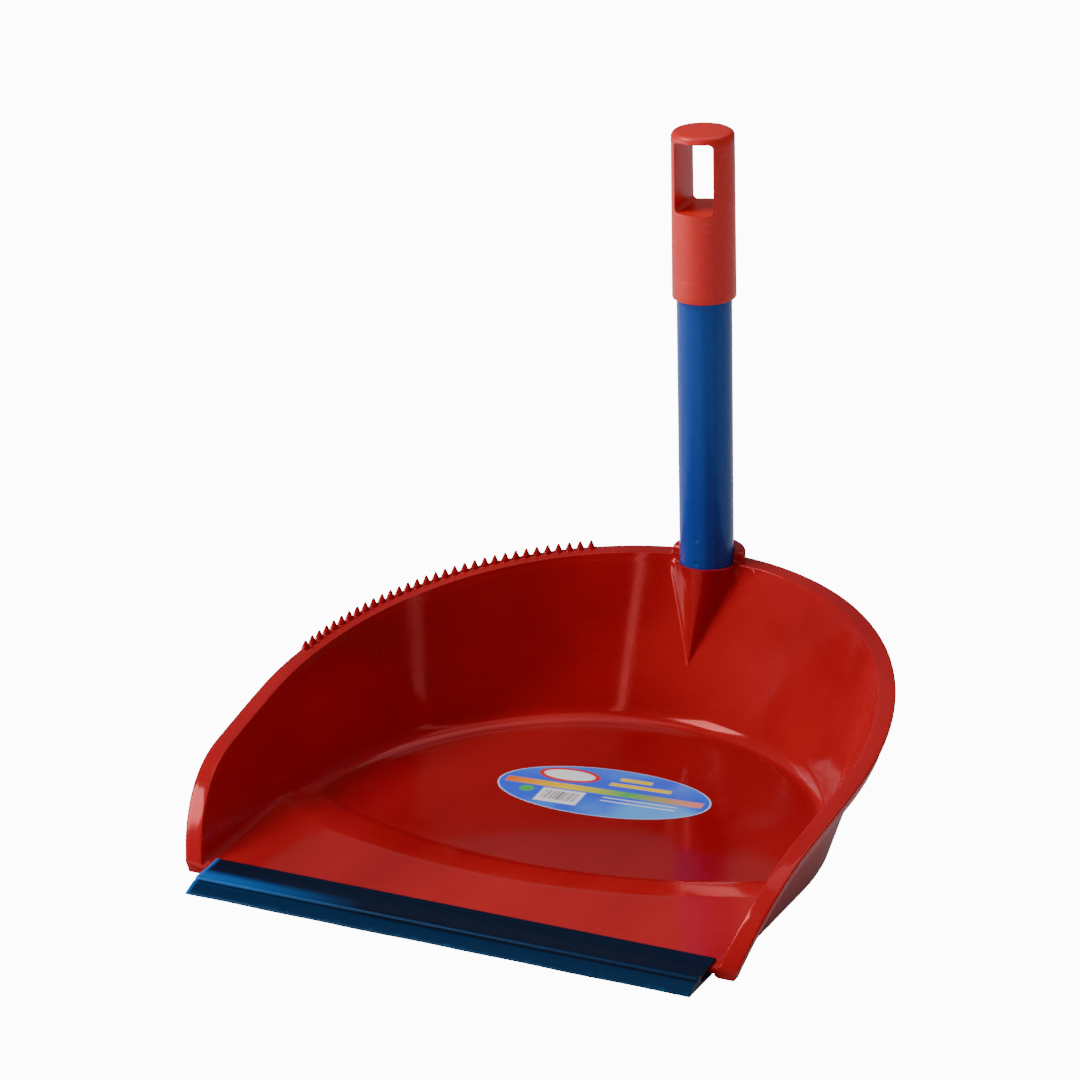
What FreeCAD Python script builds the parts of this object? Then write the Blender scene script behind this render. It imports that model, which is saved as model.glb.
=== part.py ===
import FreeCAD, Part
import Sketcher
import math
import os

# Dust pan with a short screw-in handle.
# Millimetres, +X to the pan's right, +Y to its back, +Z up.
# The origin is on the floor, midway across the pan, where its straight sides run into the bowed back.

SIZES = [
    # pan: a flared tray with straight sides and half an ellipse at the back
    ("side_run", 85, "length of the straight sides, from the front edge to the origin"),
    ("half_width", 112.8, "half the width over the walls at the floor"),
    ("back_bow", 136.3, "how far the bowed back reaches behind the origin at the floor"),
    ("side_flare", 0.31, "outward lean of the side walls, mm per mm of height"),
    ("back_flare", 0.48, "outward lean of the back wall, mm per mm of height"),
    ("wall", 2.2, "thickness of the walls and the ramp"),
    ("floor_thick", 2.6, "thickness of the flat basin floor"),
    ("corner_radius", 8, "radius between the basin floor and the walls"),
    ("foot_radius", 2.5, "radius outside the foot of the walls"),
    # rim: from the side, its top runs over two tangent arcs
    ("brow_radius", 62.3, "radius of the rim where it sweeps up from the front edge"),
    ("brow_run", 56, "centre of that arc behind the front edge"),
    ("brow_drop", 22.4, "centre of that arc below the floor"),
    ("brow_slope", 11.3, "slope of the rim where the two arcs meet, degrees"),
    ("crown_radius", 2440, "radius of the long, nearly straight part of the rim"),
    ("flange_out", 5.5, "how far the rim flange stands out from the wall"),
    ("flange_thick", 2, "thickness of the rim flange"),
    ("skirt_deep", 6, "depth of the turned-down edge of the flange"),
    ("skirt_thick", 2, "thickness of that edge"),
    # floor: a ramp behind the lip, an arc-shaped crest, and the basin behind it
    ("ramp_front", 3.85, "top of the ramp at the front edge"),
    ("ramp_slope", 3.4, "rise of the ramp towards the back, degrees"),
    ("ramp_back", -5, "end of the ramp behind the origin, at the side walls"),
    ("crest_run", 35, "crest of the ramp behind the front edge"),
    ("crest_radius", 230, "plan radius of the crest"),
    ("crest_band", 24, "width of the slope from the crest down to the basin"),
    ("basin_inset", 4, "basin edge inside the foot of the walls"),
    ("hollow_inset", 3.3, "hollow under the ramp inside the foot of the walls"),
    ("crest_lift", 0.4, "overrun of the basin cut above the ramp plane"),
    # lip: a soft strip pushed onto the front edge
    ("lip_inset", 4.3, "ends of the lip inside the foot of the side walls"),
    ("lip_reach", 20, "how far the lip reaches in front of the front edge"),
    ("lip_cover", 6, "how far the lip covers the ramp"),
    ("lip_skin", 1.3, "thickness of the lip above the tongue"),
    ("lip_dip", 0.3, "hollow of the lip between its back edge and the ridge"),
    ("lip_ridge", 11, "ridge of the lip in front of the front edge"),
    ("lip_groove", 1.1, "depth of the groove in front of the ridge"),
    ("lip_edge", 0.6, "thickness of the lip at its working edge"),
    ("tongue_reach", 8, "how far the tongue of the ramp reaches into the lip"),
    ("tongue_clear", 0.25, "clearance in front of the tongue"),
    # socket for the handle, on the back wall
    ("socket_inset", 2.4, "handle axis inside the outer face of the back wall, at the mouth"),
    ("handle_lean", 3.5, "forward lean of the handle, degrees"),
    ("mouth_rise", 2.6, "socket mouth above the rim line over the foot of the back wall"),
    ("socket_step", 2, "socket mouth wider than the handle, all round"),
    ("socket_long", 36, "length of the socket"),
    ("collar_wall", 4.8, "thickness of the collar behind the handle"),
    ("collar_rise", 5.5, "height of the collar above the mouth"),
    ("collar_long", 16, "length of the collar"),
    ("boss_drop", 34, "how far the boss under the mouth runs down the wall"),
    ("boss_tip", 2.5, "radius of the boss at its lower end"),
    ("bore_clear", 0.25, "radial clearance of the thread in the socket"),
    ("bore_end", 2, "clearance below the ferrule"),
    ("collar_clear", 0.4, "radial clearance of the handle in the collar"),
    # comb teeth on the rim, for cleaning bristles
    ("tooth_count", 32, "number of comb teeth"),
    ("tooth_pitch", 4.86, "spacing of the comb teeth along the rim"),
    ("tooth_high", 4, "height of a tooth above the rim"),
    ("tooth_radius", 1.25, "radius of a tooth at its root"),
    ("tooth_tip", 0.3, "radius of a tooth at its tip"),
    ("tooth_root", 1.5, "depth of a tooth in the flange"),
    ("tooth_inset", 1.6, "teeth inside the outer edge of the flange"),
    ("tooth_last", 22.5, "direction of the last tooth from straight back, degrees"),
    # handle
    ("tube_radius", 11.6, "outside radius of the steel tube"),
    ("tube_wall", 0.8, "wall of the steel tube"),
    ("tube_shown", 123, "length of tube between the socket and the cap"),
    ("sleeve_thick", 0.4, "thickness of the plastic coat on the tube"),
    ("cap_overlap", 34, "how far the cap slides over the tube"),
    ("cap_long", 74, "length of the cap"),
    ("cap_wall", 1.9, "thickness of the cap around the tube"),
    ("cap_draft", 0.3, "how much narrower the cap is at its top"),
    ("cap_round", 2.5, "rounding of the top of the cap"),
    ("window_wide", 17.8, "width of the hanging window"),
    ("window_high", 31, "height of the hanging window"),
    ("window_top", 3.6, "material above the hanging window"),
    ("window_round", 2, "corner radius of the hanging window"),
    ("plug_long", 26, "length of the ferrule inside the tube"),
    ("spigot_radius", 9.3, "radius over the thread of the ferrule"),
    ("spigot_long", 27, "length of the ferrule below the mouth"),
    ("thread_pitch", 5, "pitch of the coarse thread"),
    ("thread_deep", 1.4, "depth of the thread"),
    ("thread_crest", 1.2, "width of the thread at its crest"),
    # label
    ("label_long", 94, "length of the oval label"),
    ("label_wide", 50, "width of the oval label"),
    ("label_thick", 0.15, "thickness of the label"),
    ("label_back", 54.5, "label centre behind the origin"),
    ("label_side", 1.5, "label centre to the right of the middle"),
    ("label_turn", 4.5, "turn of the label, degrees"),
    # room for cuts to run past the surfaces they cut
    ("spare", 30, "overrun of the cutting shapes"),
]

doc = FreeCAD.newDocument("dust_pan")
sheet = doc.addObject("Spreadsheet::Sheet", "Sizes")
for row, (alias, value, meaning) in enumerate(SIZES, start=1):
    sheet.set("A%d" % row, alias)
    sheet.set("B%d" % row, str(value))
    sheet.set("C%d" % row, meaning)
    sheet.setAlias("B%d" % row, alias)
doc.recompute()
size = {alias: float(sheet.get(alias)) for alias, value, meaning in SIZES}


def named(text):
    """Turn the size names in an expression into references to the sheet."""
    words = sorted(size, key=len, reverse=True)
    out, i = "", 0
    while i < len(text):
        word = next((w for w in words if text.startswith(w, i)), None)
        if word:
            out += "Sizes." + word
            i += len(word)
        else:
            out += text[i]
            i += 1
    return out


def value(text):
    """Value of an expression written with the names in the sheet."""
    found = sheet.evalExpression(named(text))
    return float(getattr(found, "Value", found))


def bind(obj, **sizes):
    """Bind properties to expressions written with the names in the sheet."""
    for prop, text in sizes.items():
        obj.setExpression(prop.replace("__", "."), named(str(text)))


def place(obj, x="0", y="0", z="0", axis=None, angle="0"):
    """Bind the position, and a turn about one axis, to the sheet."""
    if axis:
        obj.Placement = FreeCAD.Placement(FreeCAD.Vector(), FreeCAD.Rotation(FreeCAD.Vector(*axis), 10))
        bind(obj, Placement__Rotation__Angle=angle)
    bind(obj, Placement__Base__x=x, Placement__Base__y=y, Placement__Base__z=z)


def add(kind, name, **sizes):
    obj = doc.addObject(kind, name)
    bind(obj, **sizes)
    return obj


def cut(name, base, tool):
    obj = doc.addObject("Part::Cut", name)
    obj.Base, obj.Tool = base, tool
    return obj


def common(name, base, tool):
    obj = doc.addObject("Part::Common", name)
    obj.Base, obj.Tool = base, tool
    return obj


def fuse(name, *shapes):
    obj = doc.addObject("Part::MultiFuse", name)
    obj.Shapes = list(shapes)
    return obj


# ---------------------------------------------------------------- pan: tray

# centres of the two arcs of the rim line, which meet on the line through both
BROW_Y = "(brow_run - side_run)"
CROWN_Y = "(brow_run - side_run + (crown_radius - brow_radius) * sin(brow_slope * 1deg))"
CROWN_Z = "(-brow_drop - (crown_radius - brow_radius) * cos(brow_slope * 1deg))"

# the socket mouth goes with the rim, and the handle axis with the back wall
MOUTH = "(%s + sqrt(crown_radius ^ 2 - (%s - back_bow) ^ 2) + mouth_rise)" % (CROWN_Z, CROWN_Y)
WALL_BACK = "(back_bow + back_flare * %s)" % MOUTH
AXIS = "(%s - socket_inset)" % WALL_BACK

HANDLE_RADIUS = "(tube_radius + sleeve_thick)"
SOCKET_RADIUS = "(tube_radius + sleeve_thick + socket_step)"
ROOM_RADIUS = "(tube_radius + sleeve_thick + collar_clear)"
COLLAR_RADIUS = "(tube_radius + sleeve_thick + collar_clear + collar_wall)"
CAP_RADIUS = "(tube_radius + sleeve_thick + cap_wall)"

TOP = "(%s + spare)" % MOUTH
WIDE = "(half_width + side_flare * %s + spare)" % MOUTH
LIP_HALF = "(half_width - lip_inset)"


def tray(name, inset, low, front):
    """Solid tray, its sides inset from the outer wall: straight in front, half an ellipse behind."""
    ends = []
    for end, level in (("low", low), ("high", TOP)):
        # Part::Ellipse starts at its longer axis, so that its seam lies in front
        oval = add("Part::Ellipse", name + "_oval_" + end,
                   MajorRadius="back_bow + back_flare * %s - %s" % (level, inset),
                   MinorRadius="half_width + side_flare * %s - %s" % (level, inset))
        place(oval, z=level, axis=(0, 0, -1), angle="90")
        ends.append(oval)
    flared = doc.addObject("Part::Loft", name + "_flared")
    flared.Sections, flared.Solid, flared.Ruled = ends, True, True
    behind = add("Part::Box", name + "_behind", Length="2 * " + WIDE, Width=WALL_BACK + " + spare",
                 Height=TOP + " + spare")
    place(behind, x="-" + WIDE)
    bowed = common(name + "_bowed", flared, behind)
    straight = add("Part::Wedge", name + "_straight",
                   Xmin="-(half_width + side_flare * %s - %s)" % (low, inset),
                   Xmax="half_width + side_flare * %s - %s" % (low, inset),
                   X2min="-(half_width + side_flare * %s - %s)" % (TOP, inset),
                   X2max="half_width + side_flare * %s - %s" % (TOP, inset),
                   Ymin=low, Ymax=TOP, Zmin="0", Zmax=front, Z2min="0", Z2max=front)
    # the wedge grows along its own Y, which stands upright here
    place(straight, axis=(1, 0, 0), angle="90")
    return fuse(name, bowed, straight)


def below_rim(name, depth):
    """Everything below the rim line, lowered square to it by depth."""
    brow = add("Part::Cylinder", name + "_brow", Radius="brow_radius - " + depth, Height="2 * " + WIDE)
    place(brow, x="-" + WIDE, y=BROW_Y, z="-brow_drop", axis=(0, 1, 0), angle="90")
    crown = add("Part::Cylinder", name + "_crown", Radius="crown_radius - " + depth, Height="2 * " + WIDE)
    place(crown, x="-" + WIDE, y=CROWN_Y, z=CROWN_Z, axis=(0, 1, 0), angle="90")
    rear = add("Part::Box", name + "_rear", Length="2 * " + WIDE, Width="2 * " + WALL_BACK,
               Height="2 * " + WALL_BACK)
    place(rear, x="-" + WIDE,
          y="%s + %s * sin(brow_slope * 1deg)" % (BROW_Y, WALL_BACK),
          z="-brow_drop - %s * cos(brow_slope * 1deg)" % WALL_BACK, axis=(1, 0, 0), angle="brow_slope")
    return common(name, fuse(name + "_both", brow, rear), crown)


outside = tray("outside", "0", "0", "side_run")
inside = tray("inside", "wall", "floor_thick", "side_run + spare")
flange_out = tray("flange_outside", "(-flange_out)", "0", "side_run")
flange_in = tray("flange_inside", "(skirt_thick - flange_out)", "0", "side_run + spare")
doc.recompute()


def foot_edges(solid, level):
    """Numbers of the edges that run around the foot of a tray at this height."""
    found = []
    for number, edge in enumerate(solid.Shape.Edges, start=1):
        box = edge.BoundBox
        flat = abs(box.ZMin - level) < 0.01 and abs(box.ZMax - level) < 0.01
        across = box.YLength < 0.01
        if flat and not across:
            found.append(number)
    return found


def rounded_foot(name, solid, level, radius):
    obj = doc.addObject("Part::Fillet", name)
    obj.Base = solid
    obj.Edges = [(number, radius, radius) for number in foot_edges(solid, level)]
    return obj


cavity = rounded_foot("cavity", inside, size["floor_thick"], size["corner_radius"])
tub = rounded_foot("tub", outside, 0, size["foot_radius"])
walls = cut("walls", common("tub_below_rim", tub, below_rim("rim", "0")), cavity)

# flange along the rim, with its edge turned down
rim_band = cut("rim_band", common("rim_outer", flange_out, below_rim("rim_top", "0")),
               below_rim("rim_skirt", "skirt_deep"))
flange_hollow = common("flange_hollow", flange_in, below_rim("rim_under", "flange_thick"))
flange = cut("flange", cut("flange_hollowed", rim_band, flange_hollow), inside)

# ---------------------------------------------------------------- pan: ramp, crest and basin


def under_ramp(name, depth, back):
    """Everything under the ramp plane, lowered square to it by depth, up to back."""
    block = add("Part::Box", name, Length="2 * " + WIDE,
                Width="(side_run + tongue_reach + %s) / cos(ramp_slope * 1deg)" % back, Height="spare")
    place(block, x="-" + WIDE,
          y="-side_run - tongue_reach + (spare + %s) * sin(ramp_slope * 1deg)" % depth,
          z="ramp_front - tongue_reach * tan(ramp_slope * 1deg) - (spare + %s) * cos(ramp_slope * 1deg)"
          % depth, axis=(1, 0, 0), angle="ramp_slope")
    return block


CREST_BACK = "(crest_radius + crest_run - side_run)"
CREST_TOP = "(ramp_front + crest_run * tan(ramp_slope * 1deg))"


def crest_round(name, radius, z, angle="0"):
    circle = add("Part::Circle", name, Radius=radius)
    place(circle, y=CREST_BACK, z=z, axis=(1, 0, 0), angle=angle)
    return circle


# the basin is a lens: inside the sloped crest arc and inside the foot of the bowed back
basin_bowl = doc.addObject("Part::Loft", "basin_bowl")
basin_bowl.Sections = [
    crest_round("basin_foot", "crest_radius - crest_band", "floor_thick"),
    # the upper circle lies just above the ramp plane, on the same slope
    crest_round("basin_crest", "crest_radius + crest_lift * crest_band / (%s - floor_thick)" % CREST_TOP,
                "ramp_front + (%s + side_run) * tan(ramp_slope * 1deg) + crest_lift" % CREST_BACK,
                "ramp_slope")]
basin_bowl.Solid, basin_bowl.Ruled = True, True
basin_sides = tray("basin_sides", "basin_inset", "floor_thick", "side_run")
ramp_solid = cut("ramp_solid", common("ramp_block", tub, under_ramp("ramp_plane", "0", "ramp_back")),
                 common("basin", basin_bowl, basin_sides))

# the ramp is hollow underneath, in front of the crest
crest_wall = add("Part::Cylinder", "crest_wall", Radius="crest_radius + wall", Height="2 * spare")
place(crest_wall, y=CREST_BACK, z="-spare")
ramp_inside = tray("ramp_inside", "hollow_inset", "(-wall)", "side_run + spare")
ramp_hollow = cut("ramp_hollow", common("ramp_hollow_block", ramp_inside,
                                        under_ramp("ramp_under", "wall", "ramp_back - wall")), crest_wall)

# the tongue that the lip is pushed onto
tongue = add("Part::Box", "tongue", Length="2 * (%s - lip_skin)" % LIP_HALF,
             Width="(tongue_reach + wall) / cos(ramp_slope * 1deg)", Height="wall")
place(tongue, x="lip_skin - %s" % LIP_HALF, y="-side_run - tongue_reach + wall * sin(ramp_slope * 1deg)",
      z="ramp_front - tongue_reach * tan(ramp_slope * 1deg) - wall * cos(ramp_slope * 1deg)",
      axis=(1, 0, 0), angle="ramp_slope")

# ---------------------------------------------------------------- pan: socket

LEAN_SIN = "sin(handle_lean * 1deg)"
LEAN_COS = "cos(handle_lean * 1deg)"


def on_axis(obj, along):
    """Stand an object on the handle axis, at a distance above the socket mouth."""
    place(obj, y="%s - (%s) * %s" % (AXIS, along, LEAN_SIN), z="%s + (%s) * %s" % (MOUTH, along, LEAN_COS),
          axis=(1, 0, 0), angle="handle_lean")
    return obj


def post(name, radius, low, high):
    """Cylinder about the handle axis between two distances from the mouth."""
    return on_axis(add("Part::Cylinder", name, Radius=radius, Height="%s - (%s)" % (high, low)), low)


mouth_edge = on_axis(add("Part::Circle", "mouth_edge", Radius=SOCKET_RADIUS), "0")
boss_end = add("Part::Circle", "boss_end", Radius="boss_tip")
place(boss_end, y="%s - back_flare * boss_drop - wall" % WALL_BACK, z="%s - boss_drop" % MOUTH,
      axis=(1, 0, 0), angle="handle_lean")
boss = doc.addObject("Part::Loft", "boss")
boss.Sections, boss.Solid, boss.Ruled = [boss_end, mouth_edge], True, True

collar_cut = add("Part::Box", "collar_front", Length="2 * " + COLLAR_RADIUS, Width=COLLAR_RADIUS + " + spare",
                 Height="collar_long + collar_rise + spare")
place(collar_cut, x="-" + COLLAR_RADIUS, y="%s - %s - spare" % (AXIS, COLLAR_RADIUS),
      z="%s - collar_long" % MOUTH)
collar = cut("collar", post("collar_round", COLLAR_RADIUS, "collar_rise - collar_long", "collar_rise"),
             collar_cut)
socket = post("socket", SOCKET_RADIUS, "-socket_long", "0")
room = post("handle_room", ROOM_RADIUS, "0", "tube_shown")
bore = post("bore", "spigot_radius + bore_clear", "-(spigot_long + bore_end)", "spare")

# ---------------------------------------------------------------- pan: comb teeth


brow_y, crown_y, crown_z = value(BROW_Y), value(CROWN_Y), value(CROWN_Z)


def rim_height(y):
    """Height of the rim line at a place along the pan."""
    if y < brow_y - size["brow_radius"] * math.sin(math.radians(size["brow_slope"])):
        return -size["brow_drop"] + math.sqrt(size["brow_radius"] ** 2 - (y - brow_y) ** 2)
    return crown_z + math.sqrt(size["crown_radius"] ** 2 - (y - crown_y) ** 2)


def rim_point(turn):
    """Place on the flange for the teeth, turned about the origin from straight back to the left."""
    out = size["flange_out"] - size["tooth_inset"]
    z = value(MOUTH)
    for step in range(20):
        x = -(size["half_width"] + size["side_flare"] * z + out) * math.sin(turn)
        y = (size["back_bow"] + size["back_flare"] * z + out) * math.cos(turn)
        z = rim_height(y)
    return FreeCAD.Vector(x, y, z)


teeth = []
turn = math.radians(size["tooth_last"])
place_now = rim_point(turn)
for number in range(int(size["tooth_count"])):
    tooth = add("Part::Cone", "tooth_%02d" % (number + 1), Radius1="tooth_radius", Radius2="tooth_tip",
                Height="tooth_root + tooth_high")
    tooth.Placement = FreeCAD.Placement(place_now - FreeCAD.Vector(0, 0, size["tooth_root"]),
                                        FreeCAD.Rotation())
    teeth.append(tooth)
    last = place_now
    while (place_now - last).Length < size["tooth_pitch"]:
        turn += math.radians(0.05)
        place_now = rim_point(turn)

tray_shell = cut("tray_shell", fuse("tray_solid", walls, flange, ramp_solid), ramp_hollow)
shell = fuse("shell", tray_shell, tongue, boss, socket, collar, *teeth)
pan = cut("pan", cut("pan_cleared", shell, room), bore)

# ---------------------------------------------------------------- sketched pieces


def outline(body, name, role, corners):
    """Closed outline on an origin plane, each corner tied to the sheet by its two distances."""
    sketch = body.newObject("Sketcher::SketchObject", name)
    origin_plane = next(item for item in body.Origin.OriginFeatures if item.Role == role)
    sketch.AttachmentSupport = [(origin_plane, "")]
    sketch.MapMode = "FlatFace"
    spots = [FreeCAD.Vector(value(across), value(up), 0) for across, up in corners]
    for i, spot in enumerate(spots):
        sketch.addGeometry(Part.LineSegment(spot, spots[(i + 1) % len(spots)]))
    for i in range(len(spots)):
        sketch.addConstraint(Sketcher.Constraint("Coincident", i, 2, (i + 1) % len(spots), 1))
    for i, (across, up) in enumerate(corners):
        for kind, text in (("DistanceX", across), ("DistanceY", up)):
            number = sketch.addConstraint(Sketcher.Constraint(kind, -1, 1, i, 1, value(text)))
            sketch.setExpression("Constraints[%d]" % number, named(text))
    return sketch


def turned(name, corners):
    """Body turned about the handle axis, from (radius, distance above the mouth) corners."""
    body = doc.addObject("PartDesign::Body", name)
    sketch = outline(body, name + "_section", "XZ_Plane", corners)
    turn = body.newObject("PartDesign::Revolution", name + "_turned")
    turn.Profile, turn.ReferenceAxis, turn.Angle = sketch, (sketch, ["V_Axis"]), 360
    on_axis(body, "0")
    return body, turn


def round_edges(body, name, base, chosen, radius):
    """Fillet the edges of the base feature that the test chooses."""
    numbers = ["Edge%d" % n for n, edge in enumerate(base.Shape.Edges, start=1) if chosen(edge)]
    fillet = body.newObject("PartDesign::Fillet", name)
    fillet.Base = (base, numbers)
    bind(fillet, Radius=radius)
    return fillet


# ---------------------------------------------------------------- lip

RAMP = "(ramp_front + (%s) * tan(ramp_slope * 1deg))"
SLOT = "(tongue_reach + tongue_clear)"
RIDGE_HIGH = "(" + RAMP % "-lip_ridge" + " + lip_skin)"
PLATE = "wall / cos(ramp_slope * 1deg)"

front_lip = doc.addObject("PartDesign::Body", "front_lip")
lip_corners = [
    ("lip_cover", RAMP % "lip_cover"),
    ("lip_cover", RAMP % "lip_cover" + " + lip_skin"),
    # the top dips a little between the back edge and the ridge
    ("(lip_cover - lip_ridge) / 2", RAMP % "(lip_cover - lip_ridge) / 2" + " + lip_skin - lip_dip"),
    ("-lip_ridge", RIDGE_HIGH),
    ("-lip_ridge - lip_groove", RIDGE_HIGH + " - lip_groove"),
    ("-lip_ridge - 2 * lip_groove", RIDGE_HIGH + " - lip_groove"),
    ("-lip_reach", "lip_edge"),
    ("-lip_reach", "0"),
    ("lip_cover", "0"),
    ("lip_cover", RAMP % "lip_cover" + " - " + PLATE),
    ("-" + SLOT, RAMP % ("-" + SLOT) + " - " + PLATE),
    ("-" + SLOT, RAMP % ("-" + SLOT)),
]
lip_section = outline(front_lip, "lip_section", "YZ_Plane",
                      [("%s - side_run" % across, up) for across, up in lip_corners])
lip_strip = front_lip.newObject("PartDesign::Pad", "lip_strip")
lip_strip.Profile = lip_section
lip_strip.SideType = "Symmetric"
bind(lip_strip, Length="2 * " + LIP_HALF)

# ---------------------------------------------------------------- handle

steel_tube, tube_turned = turned("steel_tube", [
    ("tube_radius - tube_wall", "0"),
    ("tube_radius", "0"),
    ("tube_radius", "tube_shown + cap_overlap"),
    ("tube_radius - tube_wall", "tube_shown + cap_overlap"),
])

tube_sleeve, sleeve_turned = turned("tube_sleeve", [
    ("tube_radius", "0"),
    (HANDLE_RADIUS, "0"),
    (HANDLE_RADIUS, "tube_shown + cap_overlap"),
    ("tube_radius", "tube_shown + cap_overlap"),
])

end_cap, cap_turned = turned("end_cap", [
    (HANDLE_RADIUS, "tube_shown"),
    (CAP_RADIUS, "tube_shown"),
    (CAP_RADIUS + " - cap_draft", "tube_shown + cap_long"),
    ("0", "tube_shown + cap_long"),
    ("0", "tube_shown + cap_overlap"),
    (HANDLE_RADIUS, "tube_shown + cap_overlap"),
])
doc.recompute()
cap_top = round_edges(end_cap, "cap_top", cap_turned,
                      lambda edge: edge.Vertexes[0].Z > value("tube_shown + cap_long") - 0.01
                      and edge.BoundBox.XLength > value(CAP_RADIUS), "cap_round")
WINDOW_LOW = "(tube_shown + cap_long - window_top - window_high)"
WINDOW_HIGH = "(tube_shown + cap_long - window_top)"
window_section = outline(end_cap, "window_section", "XZ_Plane", [
    ("-window_wide / 2", WINDOW_LOW),
    ("window_wide / 2", WINDOW_LOW),
    ("window_wide / 2", WINDOW_HIGH),
    ("-window_wide / 2", WINDOW_HIGH),
])
window = end_cap.newObject("PartDesign::Pocket", "window")
window.Profile, window.Type, window.SideType = window_section, "ThroughAll", "Symmetric"
doc.recompute()
window_corners = round_edges(
    end_cap, "window_corners", window,
    lambda edge: edge.Curve.TypeId == "Part::GeomLine" and edge.BoundBox.YLength > value(CAP_RADIUS)
    and edge.BoundBox.XLength < 0.01, "window_round")

CORE = "(spigot_radius - thread_deep)"
ferrule, ferrule_turned = turned("ferrule", [
    ("0", "-spigot_long"),
    (CORE + " - thread_deep", "-spigot_long"),
    (CORE, "thread_deep - spigot_long"),
    (CORE, "0"),
    ("tube_radius - tube_wall", "0"),
    ("tube_radius - tube_wall", "plug_long"),
    ("0", "plug_long"),
])
THREAD_LOW = "(2 * thread_deep - spigot_long)"
thread_section = outline(ferrule, "thread_section", "XZ_Plane", [
    (CORE + " - thread_deep / 2", THREAD_LOW),
    ("spigot_radius", THREAD_LOW + " + thread_crest"),
    ("spigot_radius", THREAD_LOW + " + 2 * thread_crest"),
    (CORE + " - thread_deep / 2", THREAD_LOW + " + 3 * thread_crest"),
])
thread = ferrule.newObject("PartDesign::AdditiveHelix", "thread")
thread.Profile, thread.ReferenceAxis, thread.Mode = thread_section, (thread_section, ["V_Axis"]), 0
# the last turn ends one crest short of the mouth
bind(thread, Pitch="thread_pitch", Height="spigot_long - 2 * thread_deep - 4 * thread_crest")

# ---------------------------------------------------------------- label

label_oval = add("Part::Ellipse", "label_oval", MajorRadius="label_long / 2", MinorRadius="label_wide / 2")
label = doc.addObject("Part::Extrusion", "label")
label.Base, label.Dir, label.Solid = label_oval, FreeCAD.Vector(0, 0, 1), True
bind(label, LengthFwd="label_thick")
place(label_oval, x="label_side", y="label_back", z="floor_thick", axis=(0, 0, 1), angle="label_turn")

# ---------------------------------------------------------------- checks and files

doc.recompute()
failed = [item.Name for item in doc.Objects if {"Invalid", "Error"} & set(item.State)]
if failed:
    raise RuntimeError("failed to build: " + ", ".join(failed))

parts = [pan, front_lip, ferrule, steel_tube, tube_sleeve, end_cap, label]
os.makedirs("parts", exist_ok=True)
for part in parts:
    part.Label = part.Name
    if part.Shape.isNull() or not part.Shape.isValid() or len(part.Shape.Solids) != 1:
        raise RuntimeError("not one valid solid: " + part.Name)
    box = part.Shape.optimalBoundingBox(True, False)
    print("%-12s %9.0f mm3  x %.1f..%.1f  y %.1f..%.1f  z %.1f..%.1f" % (
        part.Label, part.Shape.Volume, box.XMin, box.XMax, box.YMin, box.YMax, box.ZMin, box.ZMax))
    part.Shape.exportStep("parts/%s.step" % part.Label)
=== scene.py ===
import math

import bmesh
import bpy
from bpy.props import FloatProperty, FloatVectorProperty, IntProperty, PointerProperty
from mathutils import Matrix, Vector


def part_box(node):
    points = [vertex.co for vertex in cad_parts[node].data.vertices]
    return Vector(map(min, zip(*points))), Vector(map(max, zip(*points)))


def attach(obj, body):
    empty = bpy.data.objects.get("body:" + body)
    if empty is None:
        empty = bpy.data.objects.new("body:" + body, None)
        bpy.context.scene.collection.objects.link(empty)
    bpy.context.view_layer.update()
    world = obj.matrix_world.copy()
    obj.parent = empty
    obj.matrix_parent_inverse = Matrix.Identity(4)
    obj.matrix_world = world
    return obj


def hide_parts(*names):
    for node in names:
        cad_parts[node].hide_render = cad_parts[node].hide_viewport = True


bl_info = {
    "name": "Dust Pan",
    "version": (1, 0, 0),
    "blender": (4, 5, 0),
    "location": "3D View > Sidebar > Dust Pan",
    "description": "Makes a moulded dust pan with a soft lip and a short screw-in handle",
    "category": "Object",
}

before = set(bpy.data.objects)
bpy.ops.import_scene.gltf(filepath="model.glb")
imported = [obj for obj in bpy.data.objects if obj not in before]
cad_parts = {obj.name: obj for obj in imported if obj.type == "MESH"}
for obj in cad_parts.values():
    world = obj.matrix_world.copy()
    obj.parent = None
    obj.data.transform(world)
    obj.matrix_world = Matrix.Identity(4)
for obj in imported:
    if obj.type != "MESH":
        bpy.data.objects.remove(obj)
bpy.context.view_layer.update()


# ------------------------------------------------------------ sizes and colours

def length(name, description, default):
    return FloatProperty(name=name, description=description, default=default, unit="LENGTH", precision=5)


def slope(name, description, degrees):
    return FloatProperty(name=name, description=description, default=math.radians(degrees), unit="ROTATION")


def factor(name, description, default):
    return FloatProperty(name=name, description=description, default=default, subtype="FACTOR",
                         min=0.0, max=1.0)


def colour(name, description, default):
    return FloatVectorProperty(name=name, description=description, default=default, subtype="COLOR",
                               min=0.0, max=1.0)


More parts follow.
